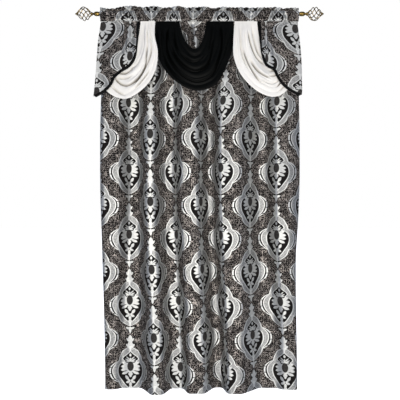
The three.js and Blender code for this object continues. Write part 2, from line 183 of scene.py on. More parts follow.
# %% Lay out the medallion
HALF_REPEAT_X = 190.5  # from one column of medallions to the next
REPEAT_Y = 372.0  # from one medallion to the one below it
SEED_X = 190.5  # a seed's place on the cloth, from the left selvedge
SEED_Y = -1228.0  # and from the rod's axis

# The frame at each height: y, and its half-width at the inner edge, the outer edge and the thin arc outside
OGEE = [
    (-147, 0, 0, 0), (-140, 0, 18, 18), (-128, 0, 39, 39), (-118, 12, 52, 52), (-104, 27, 62, 62),
    (-90, 38, 67, 67), (-82, 44, 70, 79), (-66, 56, 86, 102), (-48, 66, 98, 116), (-20, 71, 106, 122),
    (0, 67, 102, 118), (16, 55, 90, 105), (27, 29, 77, 88), (34, 36, 70, 74), (40, 42, 67, 67),
    (50, 38, 65, 65), (60, 25, 60, 60), (74, 9, 52, 52), (84, 0, 46, 46), (96, 0, 31, 31),
    (106, 0, 15, 15), (114, 0, 0, 0),
]

# Leaves: centre, turn in degrees from the horizontal, half-lengths along and across, and how full the ends
# are, from a point up to an oval at 1
Leaf = namedtuple("Leaf", "x y turn length width fullness", defaults=[0.5])
LEAVES = [Leaf(*row) for row in (
    # the bud on top of the frame
    (0, 155, 90, 22, 12), (12, 147, 50, 15, 6), (0, 119, 90, 25, 16), (14, 115, 40, 14, 7),
    # the drop and the crown under the dome
    (0, 63, 90, 9, 6), (13, 45, 40, 14, 3.4), (17, 36, 22, 14, 3.4), (0, 37, 90, 12, 6),
    (13, 28, 4, 13, 3.6),
    # the petals round the seed
    (0, -6, 90, 29, 34, 1), (31, 15, 24, 19, 9), (36, -2, 2, 20, 9), (36, -19, -8, 20, 9),
    (30, -37, -20, 20, 8),
    # the calyx and the acanthus below it
    (0, -46, 90, 16, 13), (20, -64, 55, 15, 8), (8, -76, 65, 13, 6), (14, -88, -20, 13, 7),
    (0, -100, 90, 12, 8),
    # the drop at the foot of the frame
    (0, -119, 90, 14, 10),
    # the fan that hangs from it
    (12, -158, 20, 14, 6.5), (0, -167, 90, 20, 8),
)]
VEINS = [Leaf(34, -28, -14, 17, 2.4), Leaf(12, -50, 55, 13, 2.4), Leaf(6, -71, 45, 7, 2.2)]
SEED = Leaf(0, 0, 90, 25, 17, 1)
print("leaves in half a medallion:", len(LEAVES))

# %% [markdown]
# A pointed leaf is where two equal discs overlap. Folded into one quarter by absolute values, it is part of
# a single disc, so a Mapping node that puts the leaf on the axes and one distance are enough. The fuller
# the leaf, the nearer its discs, and an oval is both in one place. Distances in millimetres let leaves melt
# together and give every edge the same softness.

# %% Shapes of the figure
MELT = 2.0  # leaves nearer to each other than this melt together, in millimetres


def leaf_distance(tree, point, leaves):
    """Distance in millimetres to the nearest of some leaves, below 0 inside them."""
    nearest = None
    for leaf in leaves:
        across = leaf.width / leaf.fullness
        offset = (1 - leaf.fullness**2) / (2 * leaf.fullness)
        radius = leaf.fullness + offset
        on_axes = add(tree, "Mapping", {
            "Vector": point,
            "Location": (leaf.x, leaf.y, 0),
            "Rotation": (0, 0, math.radians(leaf.turn)),
            "Scale": (leaf.length, across, 1),
        }, vector_type="TEXTURE")
        quarter = add(tree, "VectorMath", {0: on_axes}, operation="ABSOLUTE")
        disc = add(tree, "VectorMath", {0: quarter, 1: (0, -offset, 0)}, operation="DISTANCE")
        away = add(tree, "Math", {0: disc.outputs["Value"], 1: across, 2: -radius * across},
                   operation="MULTIPLY_ADD")
        if nearest is None:
            nearest = away
        else:
            nearest = add(tree, "Math", {0: nearest, 1: away, 2: MELT}, operation="SMOOTH_MIN")
    return nearest


def ogee_width(tree, height, column):
    """The frame's half-width in millimetres at a height, from one column of its table."""
    low, high, widest = OGEE[0][0], OGEE[-1][0], 126.0
    share = add(tree, "MapRange", {"Value": height, "From Min": low, "From Max": high})
    curve = add(tree, "FloatCurve", {"Value": share})
    line = curve.mapping.curves[0]
    places = [((row[0] - low) / (high - low), row[column] / widest) for row in OGEE]
    line.points[0].location, line.points[1].location = places[0], places[-1]
    for place in places[1:-1]:
        line.points.new(*place)
    curve.mapping.update()
    return add(tree, "Math", {0: curve, 1: widest}, operation="MULTIPLY")


print("frame in millimetres:", OGEE[-1][0] - OGEE[0][0], "high")

# %% [markdown]
# One group of nodes draws one medallion. It takes a point in millimetres from the seed and gives back how
# far each part of the weave covers it, from 0 to 1: white lines, leaves, grey band, plain black ground and
# seed. Distances give the simple covers, and a short list of steps combines them.

# %% Draw one medallion
EDGE = 0.9  # softness of an edge in the weave, in millimetres
ARC_SEGMENT = 34.0  # the thin arc is woven in short lengths
ARC_WIDTH = 8.5
RIM = 5.5  # width of the band's white edges
LEAF_MARGIN = 4.5  # plain black round the leaves
SEED_MARGIN = 1.0

COVERS = ("line", "leaf", "grey", "black", "seed")


def new_group(name, given):
    """A node group from one vector to the covers, with the vector's socket and the group's output."""
    group = bpy.data.node_groups.new(name, "ShaderNodeTree")
    group.interface.new_socket(given, in_out="INPUT", socket_type="NodeSocketVector")
    for cover in COVERS:
        group.interface.new_socket(cover, in_out="OUTPUT", socket_type="NodeSocketFloat")
    return group, group.nodes.new("NodeGroupInput").outputs[given], group.nodes.new("NodeGroupOutput")


medallion, point, drawn = new_group("damask medallion", "point")


def cover_from(distance, reach=0.0):
    """1 where a distance is below the reach, 0 beyond it, with a soft edge."""
    return add(medallion, "MapRange", {
        "Value": distance, "From Min": reach + EDGE, "From Max": reach - EDGE,
    }, interpolation_type="SMOOTHSTEP")


mirrored = add(medallion, "SeparateXYZ", {0: point})
side = add(medallion, "Math", {0: mirrored.outputs["X"]}, operation="ABSOLUTE")
height = mirrored.outputs["Y"]
half_point = add(medallion, "CombineXYZ", {"X": side, "Y": height})
figure = leaf_distance(medallion, half_point, LEAVES)
veins = leaf_distance(medallion, half_point, VEINS)
seed = leaf_distance(medallion, half_point, [SEED])
past = {}
for column, edge in enumerate(("inner", "outer", "arc"), 1):
    width = ogee_width(medallion, height, column)
    past[edge] = add(medallion, "Math", {0: side, 1: width}, operation="SUBTRACT")
print("nodes for the distances:", len(medallion.nodes))

# %% Combine the covers
along = add(medallion, "Math", {0: height, 1: ARC_SEGMENT / 2}, operation="PINGPONG")
part = {
    "inside": cover_from(past["inner"]),
    "framed": cover_from(past["outer"]),
    "arced": cover_from(past["arc"]),
    "within arc": cover_from(past["arc"], -ARC_WIDTH),
    "within band": cover_from(past["inner"], RIM),
    "to band": cover_from(past["outer"], -RIM),
    "segment": add(medallion, "MapRange", {"Value": along, "From Min": 1.0, "From Max": 3.0}),
    "figure": cover_from(figure),
    "veins": cover_from(veins),
    "round seed": cover_from(seed, SEED_MARGIN),
    "round figure": cover_from(figure, LEAF_MARGIN),
    "seed": cover_from(seed),
}
STEPS = (
    ("band", "framed", "SUBTRACT", "inside"),
    ("grey", "to band", "SUBTRACT", "within band"),
    ("rim", "band", "SUBTRACT", "grey"),
    ("arc", "arced", "SUBTRACT", "within arc"),
    ("outside", 1.0, "SUBTRACT", "framed"),
    ("arc", "arc", "MULTIPLY", "outside"),
    ("arc", "arc", "MULTIPLY", "segment"),
    ("line", "rim", "MAXIMUM", "arc"),
    ("leaf", "figure", "SUBTRACT", "veins"),
    ("leaf", "leaf", "SUBTRACT", "round seed"),
    ("black", "arced", "MAXIMUM", "round figure"),
)
for name, one, operation, other in STEPS:
    pair = {0: part.get(one, one), 1: part[other]}
    part[name] = add(medallion, "Math", pair, operation=operation, use_clamp=operation == "SUBTRACT")
fill(medallion, drawn, {name: part[name] for name in COVERS})
print("nodes in a medallion:", len(medallion.nodes))

# %% [markdown]
# The cloth's own UV map holds its flat place in metres, so the figure follows every fold. A wrap turns that
# place into a point of the nearest medallion. Two lots of medallions, the second half a repeat across and
# down, make the half drop.

# %% Repeat the medallion
PERIOD = (2 * HALF_REPEAT_X, REPEAT_Y, 1.0)

repeat, on_cloth, covers = new_group("half-drop repeat", "cloth")
lots = []
for drop in (0.0, 0.5):
    middle = (SEED_X + drop * PERIOD[0], SEED_Y + drop * PERIOD[1], 0.0)
    from_seed = add(repeat, "VectorMath", {0: on_cloth, 1: middle}, operation="SUBTRACT")
    wrapped = add(repeat, "VectorMath", {
        0: from_seed, 1: [p / 2 for p in PERIOD], 2: [-p / 2 for p in PERIOD],
    }, operation="WRAP")
    lots.append(add(repeat, "Group", {"point": wrapped}, node_tree=medallion))
for cover in COVERS:
    both = {k: lot.outputs[cover] for k, lot in enumerate(lots)}
    fill(repeat, covers, {cover: add(repeat, "Math", both, operation="MAXIMUM")})
print("repeat in millimetres:", PERIOD[:2])

# %% [markdown]
# The face shows black warp with bright filament weft in the figure and the curls. Satin floats reflect like
# the fibres they are, so the bright yarns are smoother than the warp, and most of their light is a broad
# reflection that fades where a fold turns away. The reverse has the same figure, muted, because there the
# bright weft is bound under the warp.

# %% Damask finish
CURL = 12.0  # size of the vermicelli curls, in millimetres
GRAIN = 8.0  # size of the mottling in the bright yarns
RIB = 2.4  # spacing of the weft ribs; the real 0.6 mm is too fine to show, so it is drawn wider


def make_damask(name, ground, curl, dull_grey, grey, leaf, line, seed, gloss):
    finish, tree, shader = new_finish(name)
    cloth = flat_place(tree)
    cover = add(tree, "Group", {"cloth": cloth}, node_tree=repeat).outputs
    noise, patches, grain = [
        add(tree, "TexNoise", {"Vector": cloth, "Scale": 1 / size, "Detail": detail}, noise_dimensions="2D")
        for size, detail in ((CURL, 1.0), (3 * CURL, 2.0), (GRAIN, 2.0))
    ]

    # short curls: the thin lines where a soft noise crosses its middle value
    off = add(tree, "Math", {0: noise, 1: 0.5}, operation="SUBTRACT")
    off = add(tree, "Math", {0: off}, operation="ABSOLUTE")
    curls = add(tree, "MapRange", {"Value": off, "From Min": 0.08, "From Max": 0.01})
    faded = add(tree, "MapRange", {
        "Value": patches, "From Min": 0.3, "From Max": 0.7, "To Min": 0.25, "To Max": 1.0})
    curls = add(tree, "Math", {0: curls, 1: faded}, operation="MULTIPLY")

    colour = add(tree, "MixRGB", {0: curls, 1: linear(ground), 2: linear(curl)})
    layers = (
        ("black", ground, ground), ("grey", dull_grey, grey), ("leaf", leaf, line), ("line", line, line),
        ("seed", ground, seed),
    )
    for part, low, high in layers:
        tone = add(tree, "MixRGB", {0: grain, 1: linear(low), 2: linear(high)})
        colour = add(tree, "MixRGB", {0: cover[part], 1: colour, 2: tone})
    shine = curls
    for part in ("line", "grey", "leaf"):
        shine = add(tree, "Math", {0: shine, 1: cover[part]}, operation="MAXIMUM")
    rough = add(tree, "MapRange", {"Value": shine, "To Min": 0.8, "To Max": 0.5})
    metal = add(tree, "Math", {0: shine, 1: gloss}, operation="MULTIPLY")
    ribs = add(tree, "TexWave", {"Vector": cloth, "Scale": 2 * math.pi / (20 * RIB), "Distortion": 0.4},
               bands_direction="Y")
    bump = add(tree, "Bump", {"Strength": 0.2, "Distance": 0.4 * MM, "Height": ribs})
    # the floats run along the weft, so a highlight spreads up and down the cloth and not along it
    weft = add(tree, "Tangent", direction_type="UV_MAP", uv_map="cloth")
    fill(tree, shader, {
        "Base Color": colour, "Roughness": rough, "Metallic": metal, "Normal": bump, "Tangent": weft,
        "Anisotropic": 0.7, "Anisotropic Rotation": 0.25, "Specular IOR Level": 0.12,
    })
    return finish


FACE = ("#1b1817", "#cbc2ba", "#5e5f5e", "#c5c6c4", "#babbb8", "#e0e1de", "#4a4846")
REVERSE = ("#2b2827", "#5d5855", "#55524f", "#615e5b", "#6b6764", "#75716e", "#3a3533")
damask = [make_damask("damask face", *FACE, 0.78), make_damask("damask reverse", *REVERSE, 0.0)]
print("damask nodes:", len(damask[0].node_tree.nodes))

# %% [markdown]
# ## The plain cloths
#
# The swags are crepe, woven from hard-twisted yarn that leaves a fine, dull pebble. The binding is a strip
# of black satin. All are plain in colour, so their look is in the soft fall of light over the folds, with a
# slow variation where the cloth was handled. Where pleats lie on each other, shade is painted into the
# colour, because the mesh's creases are too shallow to shadow themselves enough. A UV map tells the finish
# how much painted shade each point of a crease gets.

# %% Crepe and binding finishes
HANDLED = 45.0  # size of the slow variation, in millimetres


def make_plain(name, painted_crease_shade, dark, light, roughness, gleam, pebble):
    finish, tree, shader = new_finish(name)
    cloth = flat_place(tree)
    handled, grain = [
        add(tree, "TexNoise", {"Vector": cloth, "Scale": 1 / size, "Detail": detail}, noise_dimensions="2D")
        for size, detail in ((HANDLED, 3.0), (pebble, 1.0))
    ]
    tone = add(tree, "Math", {0: grain, 1: 0.5, 2: handled}, operation="MULTIPLY_ADD")
    tone = add(tree, "MapRange", {"Value": tone, "From Min": 0.4, "From Max": 1.1})
    colour = add(tree, "MixRGB", {0: tone, 1: linear(dark), 2: linear(light)})
    # painted shade: the crease UV map darkens the colour towards a shade colour inside the creases
    painted_shade = add(tree, "SeparateXYZ", {0: add(tree, "UVMap", uv_map="crease")})
    colour = add(tree, "MixRGB", {0: painted_shade, 1: colour, 2: linear(painted_crease_shade)})
    rough = add(tree, "MapRange", {"Value": grain, "To Min": roughness - 0.08, "To Max": roughness + 0.08})
    bump = add(tree, "Bump", {"Strength": 0.2, "Distance": 0.4 * MM, "Height": grain})
    fill(tree, shader, {
        "Base Color": colour, "Roughness": rough, "Normal": bump, "Specular IOR Level": gleam,
    })
    return finish


# the first colour of each is the painted shade inside its creases
white_crepe = make_plain("white crepe", "#8f897f", "#f7f4ed", "#fffdf8", 0.72, 0.05, 1.6)
black_crepe = make_plain("black crepe", "#000000", "#010201", "#050605", 0.5, 0.08, 1.6)
satin_binding = make_plain("black satin binding", "#020202", "#050505", "#0b0b0b", 0.5, 0.1, 1.2)
print("plain cloths:", white_crepe.name, black_crepe.name, satin_binding.name)

# %% [markdown]
# ## Lines and nets
#
# Every cloth here is a net of points worked out from a short table: a smooth line through its rows, then a
# row of points across each section. The helpers run a smooth line through points, space it evenly, and turn
# a net into a closed sheet with a face, a reverse and a rim. The sheet gets three UV maps: its flat place
# in metres, which the finishes read, a layout for baking, and how much painted shade its creases get.


# %% Smooth lines and their lengths
def smoothstep(value, start, end):
    share = np.clip((np.asarray(value, float) - start) / (end - start), 0, 1)
    return share * share * (3 - 2 * share)


def lerp(start, end, share):
    return start + (end - start) * share


def smooth_line(points, shares):
    """Points at some shares of a smooth (centripetal Catmull-Rom) line through given points."""
    points = np.asarray(points, float)
    line = np.vstack([2 * points[0] - points[1], points, 2 * points[-1] - points[-2]])
    last = len(points) - 1
    place = np.asarray(shares, float) * last
    start = np.minimum(place.astype(int), last - 1)
    t = (place - start)[:, None]
    p0, p1, p2, p3 = (line[start + k] for k in range(4))
    pairs = ((p0, p1), (p1, p2), (p2, p3))
    d0, d1, d2 = (np.linalg.norm(b - a, axis=1, keepdims=True) ** 0.5 for a, b in pairs)
    m1 = ((p1 - p0) / d0 - (p2 - p0) / (d0 + d1) + (p2 - p1) / d1) * d1
    m2 = ((p2 - p1) / d1 - (p3 - p1) / (d1 + d2) + (p3 - p2) / d2) * d1
    near = (2 * t**3 - 3 * t**2 + 1) * p1 + (t**3 - 2 * t**2 + t) * m1
    return near + (3 * t**2 - 2 * t**3) * p2 + (t**3 - t**2) * m2


def run_along(points):
    """The length of a line of points up to each of them."""
    steps = np.linalg.norm(np.diff(points, axis=0), axis=1)
    return np.concatenate([[0.0], np.cumsum(steps)])


def even_line(points, count):
    """Evenly spaced points along a smooth line."""
    fine = smooth_line(points, np.linspace(0, 1, 40 * len(points)))
    run = run_along(fine)
    wanted = np.linspace(0, run[-1], count)
    return np.column_stack([np.interp(wanted, run, fine[:, k]) for k in range(fine.shape[1])])


def net_normals(net):
    normals = np.cross(*np.gradient(net, axis=(0, 1)))
    return normals / np.linalg.norm(normals, axis=2, keepdims=True)


print("length of a square's two sides:", run_along([(0, 0), (1, 0), (1, 1)])[-1])


# %% Make a sheet of cloth
def select(*pieces):
    """Selects some objects and nothing else. The last one becomes the active one."""
    bpy.ops.object.select_all(action="DESELECT")
    for piece in pieces:
        piece.select_set(True)
    bpy.context.view_layer.objects.active = pieces[-1]


def make_sheet(name, net, flat, thickness, finishes, painted_shade=0.0):
    """A closed sheet of cloth. net and flat are grids of places in millimetres, in space and on the cloth.

    Rows run down the cloth as seen from its face, and columns to the right.
    """
    rows, columns = net.shape[:2]
    half = net_normals(net) * np.broadcast_to(thickness, (rows, columns))[..., None] / 2
    points = np.stack([net + half, net - half]).reshape(-1, 3) * MM
    count = rows * columns
    index = np.arange(count).reshape(rows, columns)
    quads = [index[:-1, :-1], index[1:, :-1], index[1:, 1:], index[:-1, 1:]]
    front = np.stack(quads, axis=-1).reshape(-1, 4)
    back = front[:, ::-1] + count
    loop = np.concatenate([index[0, :-1], index[:-1, -1], index[-1, :0:-1], index[:0:-1, 0]])
    after = np.roll(loop, -1)
    rim = np.column_stack([loop, after, after + count, loop + count])
    faces = np.concatenate([front, back, rim])

    mesh = bpy.data.meshes.new(name)
    mesh.from_pydata(points.tolist(), [], faces.tolist())
    for finish in finishes:
        mesh.materials.append(finish)
    slots = np.zeros(len(faces), np.int32)
    slots[len(front) : 2 * len(front)] = len(finishes) - 1
    mesh.polygons.foreach_set("material_index", slots)

    # the layout for baking: the face at the left, the reverse at the right and the rim along the foot
    corners = faces.ravel() % count
    cloth_uv = flat.reshape(-1, 2)[corners] * MM
    down, over = np.divmod(corners, columns)
    bake_uv = np.column_stack([0.01 + 0.47 * over / (columns - 1), 0.03 + 0.95 * (1 - down / (rows - 1))])
    bake_uv[4 * len(front) : 8 * len(front), 0] += 0.5
    along = (np.arange(len(rim))[:, None] + (0, 1, 1, 0)) / len(rim)
    bake_uv[8 * len(front) :, 0] = along.ravel()
    bake_uv[8 * len(front) :, 1] = np.tile([0.005, 0.005, 0.015, 0.015], len(rim))
    # the third map holds painted shade: how much the finish darkens each point of a crease
    painted_shade_uv = np.zeros_like(cloth_uv)
    painted_shade_uv[:, 0] = np.broadcast_to(painted_shade, (rows, columns)).ravel()[corners]
    for map_name, places in (("cloth", cloth_uv), ("OFBake", bake_uv), ("crease", painted_shade_uv)):
        layer = mesh.uv_layers.new(name=map_name)
        layer.data.foreach_set("uv", places.ravel().astype(np.float32))
    piece = bpy.data.objects.new(name, mesh)
    scene.collection.objects.link(piece)
    select(piece)
    bpy.ops.object.shade_smooth_by_angle(angle=math.radians(50))
    area = sum(polygon.area for polygon in mesh.polygons) / 2
    print(f"{name}: {len(front)} faces a side, {area:.3f} m2 of cloth")
    return piece


def seat(piece, node):
    """Lets a piece stand for a CAD node and ride with it."""
    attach(piece, "root")
    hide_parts(node)


# %% [markdown]
# ## The panel
#
# The panel is one width of damask, 1486 mm when flat, hung in uneven folds on 1100 mm of rod. The table
# gives each ridge (y below 0) and valley at middle height and at the hem, as in the CAD model. A smooth
# line through them has nearly the flat cloth's length, and even spacing along it puts the figure where it
# lies on the real cloth: narrow where a fold turns away.

# %% Sizes of the cloths
DAMASK = 1.6
CREPE = 1.2
BINDING = 1.0
FLAT_WIDTH = 7.8 * HALF_REPEAT_X
SEAM_TOP = -33.0
SEAM_BOTTOM = -42.0
TUCK_TOP = SEAM_TOP - 1
HANG_Z = SEAM_BOTTOM - 2
MID_Z = -870.0
HEM_Z = -2095.0
SEAM_SLOT_FRONT = -3.2
SEAM_GAP = 0.4
VALANCE_LAYER = SEAM_SLOT_FRONT + SEAM_GAP + DAMASK / 2
PANEL_LAYER = 2.4
SEAM_SLOT_BACK = PANEL_LAYER + DAMASK / 2 + SEAM_GAP
PANEL_SET_BACK = 12.0
VALANCE_LEAN = 0.14

# Folds: x, y and the half-length of the flat top at middle height, and the same at the hem
FOLDS = [
    (-556, 8, 0, -515, 44, 0), (-551, -6, 0, -534, 14, 0), (-496, -14, 48, -496, 6, 28),
    (-365, 43, 26, -385, 26, 54), (-274, -47, 22, -231, -66, 28), (-172, 32, 28, -126, 18, 32),
    (-59, -44, 42, -17, -52, 39), (58, 36, 17, 107, 32, 20), (168, -51, 53, 195, -54, 36),
    (354, 44, 24, 386, 26, 44), (461, -24, 33, 509, -2, 30), (530, -10, 0, 551, 18, 0),
    (563, 18, 0, 508, 72, 0),
]
BEND = 4  # points each way over which a bend is rounded
DRAWN_IN = 0.972  # the seam's width as a share of the panel's


def seam_y(x):
    """The seam's own slight waviness, the same for every cloth caught in it."""
    return 0.6 * np.sin(x / 38 + 0.6) + 0.2 * np.sin(x / 23)


def soften(line, reach):
    """Rounds the bends of an evenly spaced line: each point becomes the mean of those round it."""
    padded = np.pad(line, ((reach, reach), (0, 0)), mode="reflect", reflect_type="odd")
    return np.mean([padded[step : step + len(line)] for step in range(2 * reach + 1)], axis=0)


def fold_line(z, count):
    low = smoothstep(z, HEM_Z, MID_Z)
    depth = 1 - smoothstep(z, -720, -60)
    points = []
    for mid_x, mid_y, mid_flat, hem_x, hem_y, hem_flat in FOLDS:
        x = lerp(hem_x, mid_x * lerp(DRAWN_IN, 1, depth), low)
        y = depth * lerp(hem_y, mid_y, low)
        flat = lerp(hem_flat, mid_flat, low)
        points += [(x + share * flat, y) for share in (-1, -0.5, 0.5, 1)] if flat > 0 else [(x, y)]
    return soften(even_line(points, count), BEND)


# Where each column of medallions lies along the rod, because the gathers aren't even
COLUMN_PLACES = {0.25: -550, 1: -390, 3: -141, 4: -36, 5: 132, 7: 436, 7.8: 550}


def drawn_up_place(x):
    """The place on the flat cloth of a point along the rod."""
    return np.interp(x, list(COLUMN_PLACES.values()), list(COLUMN_PLACES)) * HALF_REPEAT_X


print("folds in the panel:", len(FOLDS) - 1)

# %% Hang the panel
PANEL_COLUMNS = 401
HEM_DEPTH = 38.0
SIDE_HEM = 20.0
HEM_LAYERS = 1.5
OPEN_Z = -300.0  # above this the cloth is still drawn up by the seam
GATHERS = 20  # small gathers below the seam, which open into the folds
GATHER_DEPTH = 13.0
RIPPLE = 1.1

heights = np.concatenate([np.linspace(TUCK_TOP, OPEN_Z, 36)[:-1], np.linspace(OPEN_Z, HEM_Z, 85)])
net = np.zeros((len(heights), PANEL_COLUMNS, 3))
share = np.linspace(0, 1, PANEL_COLUMNS)
for row, z in enumerate(heights):
    net[row, :, :2] = fold_line(z, PANEL_COLUMNS)
    net[row, :, 2] = z
x, z = net[..., 0], net[..., 2]
set_back = PANEL_SET_BACK * (1 - smoothstep(z, -190, SEAM_BOTTOM))
drawn_up = smoothstep(z, -420, -150) * (1 - smoothstep(z, -80, SEAM_BOTTOM - 4))
gathers = np.sin(2 * np.pi * GATHERS * share + 1.6 * np.sin(31 * share)) + smoothstep(z, -180, -90)
gathers *= GATHER_DEPTH * drawn_up
ripple = np.sin(share * 61 + z / 300) * np.sin(z / 210 + share * 9) + 0.6 * np.sin(share * 97 - z / 170)
net[..., 1] += PANEL_LAYER + set_back + gathers + smoothstep(z, OPEN_Z, SEAM_BOTTOM) * seam_y(x)
net[..., 1] += RIPPLE * ripple * smoothstep(z, -120, -420)
flat_x = lerp(share * FLAT_WIDTH, drawn_up_place(x), smoothstep(z, OPEN_Z, -60))
flat = np.stack([flat_x, z], axis=-1)
from_side = np.minimum(share, 1 - share) * FLAT_WIDTH
hemmed = np.maximum(z - HEM_Z < HEM_DEPTH, from_side < SIDE_HEM)
panel = make_sheet("panel_cloth", net, flat, DAMASK * np.where(hemmed, HEM_LAYERS, 1.0), damask)
seat(panel, "main_panel")

# %% [markdown]
# ## The heading
#
# The heading is a strip folded over and stitched twice: the lower row closes the pocket round the rod, and
# the upper one leaves a ruffle above it. Drawn up along the rod, its walls pucker. One line round the
# strip's section runs from the seam at the back, over the ruffle's edge and down the front, and is repeated
# along the rod with the puckers' swing added.

# %% Section of the heading
HEADING_HALF_WIDTH = 550.0
STITCH_Z = 13.5
POCKET_FRONT, POCKET_BACK = 16.5, 15.5
PUCKER_FRONT, PUCKER_BACK = 3.5, 2.5
RUFFLE_SWAY = 6.0
RUFFLE = {
    -550: 33, -500: 26, -450: 33, -370: 43, -310: 33, -252: 41, -200: 31, -130: 39, -60: 32, 10: 37,
    80: 29, 137: 37, 200: 31, 270: 34, 330: 30, 410: 35, 475: 28, 550: 31,
}


def gather(x):
    return 0.6 * np.sin(x / 11.5 + 1.6 * np.sin(x / 71)) + 0.4 * np.sin(x / 19.3 + 2.1)


def crumple(x, height):
    """Puckers that slant across the pocket's wall, with a sharp crease between two round backs."""
    tight = np.abs(np.sin(x / 7.5 + 1.2 * np.sin(x / 31 + height / 35) + height / 30))
    loose = np.abs(np.sin(x / 11.3 - height / 19 + 1.3 * np.sin(x / 57)))
    return 0.65 * tight + 0.35 * loose


def ruffle_top(x):
    places = list(RUFFLE)
    after = max(1, int(np.searchsorted(places, x)))
    start, end = places[after - 1], places[after]
    return lerp(RUFFLE[start], RUFFLE[end], smoothstep(x, start, end))


def heading_section(x):
    front = -(POCKET_FRONT + PUCKER_FRONT * gather(x)) + DAMASK / 2
    back = POCKET_BACK + PUCKER_BACK * gather(x + 40) - DAMASK / 2
    sway = gather(x * 0.8 + 15)
    edge = RUFFLE_SWAY * sway
    top = ruffle_top(x) - DAMASK / 2
    middle = lerp(STITCH_Z, top, 0.5)
    leaf = 0.62 * DAMASK
    seam_front = seam_y(x) + SEAM_SLOT_FRONT - DAMASK / 2
    seam_back = seam_y(x) + SEAM_SLOT_BACK + DAMASK / 2
    return [
        (seam_back, SEAM_BOTTOM), (seam_back, SEAM_TOP), (back * 0.86, -14), (back, -1), (back * 0.74, 8.5),
        (sway + leaf, STITCH_Z), (edge / 2 + leaf, middle), (edge + leaf, top - 1), (edge, top),
        (edge - leaf, top - 1), (edge / 2 - leaf, middle), (sway - leaf, STITCH_Z), (front * 0.74, 8.5),
        (front, -1), (front * 0.86, -14), (seam_front, SEAM_TOP), (seam_front, SEAM_BOTTOM),
    ]


print("points in the section:", len(heading_section(0.0)))

# %% Gather the heading
HEADING_ROWS, HEADING_COLUMNS = 73, 601
CRUMPLE = 13.0
TIGHT = 0.8  # thickness of cloth that is drawn tight, as a share
HEADING_FOOT = -82.0  # where the front seam lies on the figure
stations = np.linspace(-HEADING_HALF_WIDTH, HEADING_HALF_WIDTH, HEADING_COLUMNS)
net = np.zeros((HEADING_ROWS, HEADING_COLUMNS, 3))
flat = np.zeros((HEADING_ROWS, HEADING_COLUMNS, 2))
for column, x in enumerate(stations):
    line = smooth_line(heading_section(x), np.linspace(0, 1, HEADING_ROWS))
    net[:, column] = np.column_stack([np.full(HEADING_ROWS, x), line])
    run = run_along(line)
    flat[:, column, 0] = drawn_up_place(x)
    flat[:, column, 1] = run[-1] - run + HEADING_FOOT
z = net[..., 2]
free = smoothstep(z, SEAM_TOP, -20) * (1 - np.exp(-(((z - STITCH_Z) / 5) ** 2)))
at_back = np.arange(HEADING_ROWS)[:, None] < HEADING_ROWS / 2
outwards = np.where(at_back & (z < STITCH_Z), 1, -1)
net[..., 1] += CRUMPLE * outwards * free * crumple(net[..., 0], z)
heading = make_sheet("heading_cloth", net, flat, DAMASK * TIGHT, damask)
seat(heading, "heading")

# %% [markdown]
# ## The side falls and their binding
#
# A fall is a damask piece cut on a slant, its inner and lower edge wrapped in black binding. The table
# gives the bound edge and the free outer edge of each section. The binding is its own strip, folded over
# the edge: front flap, turn and back flap.

# %% Tables of the falls
# Sections from the seam down: x and z at the bound edge, then x and z at the outer edge
FALLS = {
    "left": [
        (-334, -44, -547, -44), (-344, -180, -560, -162), (-354, -255, -563, -237),
        (-381, -300, -565, -300), (-429, -336, -567, -351), (-461, -369, -569, -391),
        (-479, -408, -571, -425), (-513, -445, -573, -456), (-562, -476, -576, -472),
    ],
    "right": [
        (325, -44, 543, -44), (336, -180, 552, -151), (346, -255, 557, -237), (364, -298, 558, -300),
        (405, -325, 558, -346), (424, -363, 557, -385), (449, -402, 557, -419), (492, -442, 556, -447),
        (540, -470, 554, -464),
    ],
}
# Where the inner seed shows on each fall, and the pleat beside it: how far outwards from the seed it starts
# and ends, and how much cloth it takes up at the seam and at the foot
FALL_FIGURES = {
    "left": (-384, -242, 2, 42, 39, 15),
    "right": (378, -256, -18, 8, 38, 21),
}
PLEAT_HEIGHT = 6.0
PLEAT_SPACING = 38.0
SEED_LIFT = 0.11  # the bound edge is drawn up, so the figure rises towards it by this share
BINDING_WIDTH = 12.0
BINDING_GAP = 1.3


def valance_y(x, z):
    """How far the valance stands forward of the rod's axis."""
    return seam_y(x) + VALANCE_LAYER - VALANCE_LEAN * np.maximum(0, HANG_Z - z)


def valance_grid(table, rows, columns, seams=1):
    """x and z over a cloth between the two edges in its table, and the share along it of each row.

    A row up in the seam is added before the first one, and with two seams also after the last one.
    """
    shares = np.linspace(0, 1, rows)
    first, second = (smooth_line([row[k : k + 2] for row in table], shares) for k in (0, 2))
    grid = lerp(first[:, None], second[:, None], np.linspace(0, 1, columns)[:, None])
    grid = np.pad(grid, ((1, seams - 1), (0, 0), (0, 0)), mode="edge")
    grid[[0, -1][:seams], :, 1] = TUCK_TOP
    return grid[..., 0], grid[..., 1], np.pad(shares, (1, seams - 1), mode="edge")


print("falls:", list(FALLS))

# %% Hang the falls and bind them
FALL_ROWS, FALL_COLUMNS = 81, 121
FLAP = 16  # columns under the binding
STRIP_HALF = 14.0
AWAY = DAMASK / 2 + BINDING_GAP + BINDING / 2  # from the fall's middle to the binding's
# Half of the binding's section: how far in from the edge, and how far from the cloth as a share of AWAY
FLAP_LINE = [(BINDING_WIDTH, 1), (BINDING_WIDTH / 2, 1.08), (0, 1), (-0.7 * AWAY, 0.7)]
TURNED_LINE = [*FLAP_LINE, (-AWAY, 0), *[(inset, -out) for inset, out in FLAP_LINE[::-1]]]

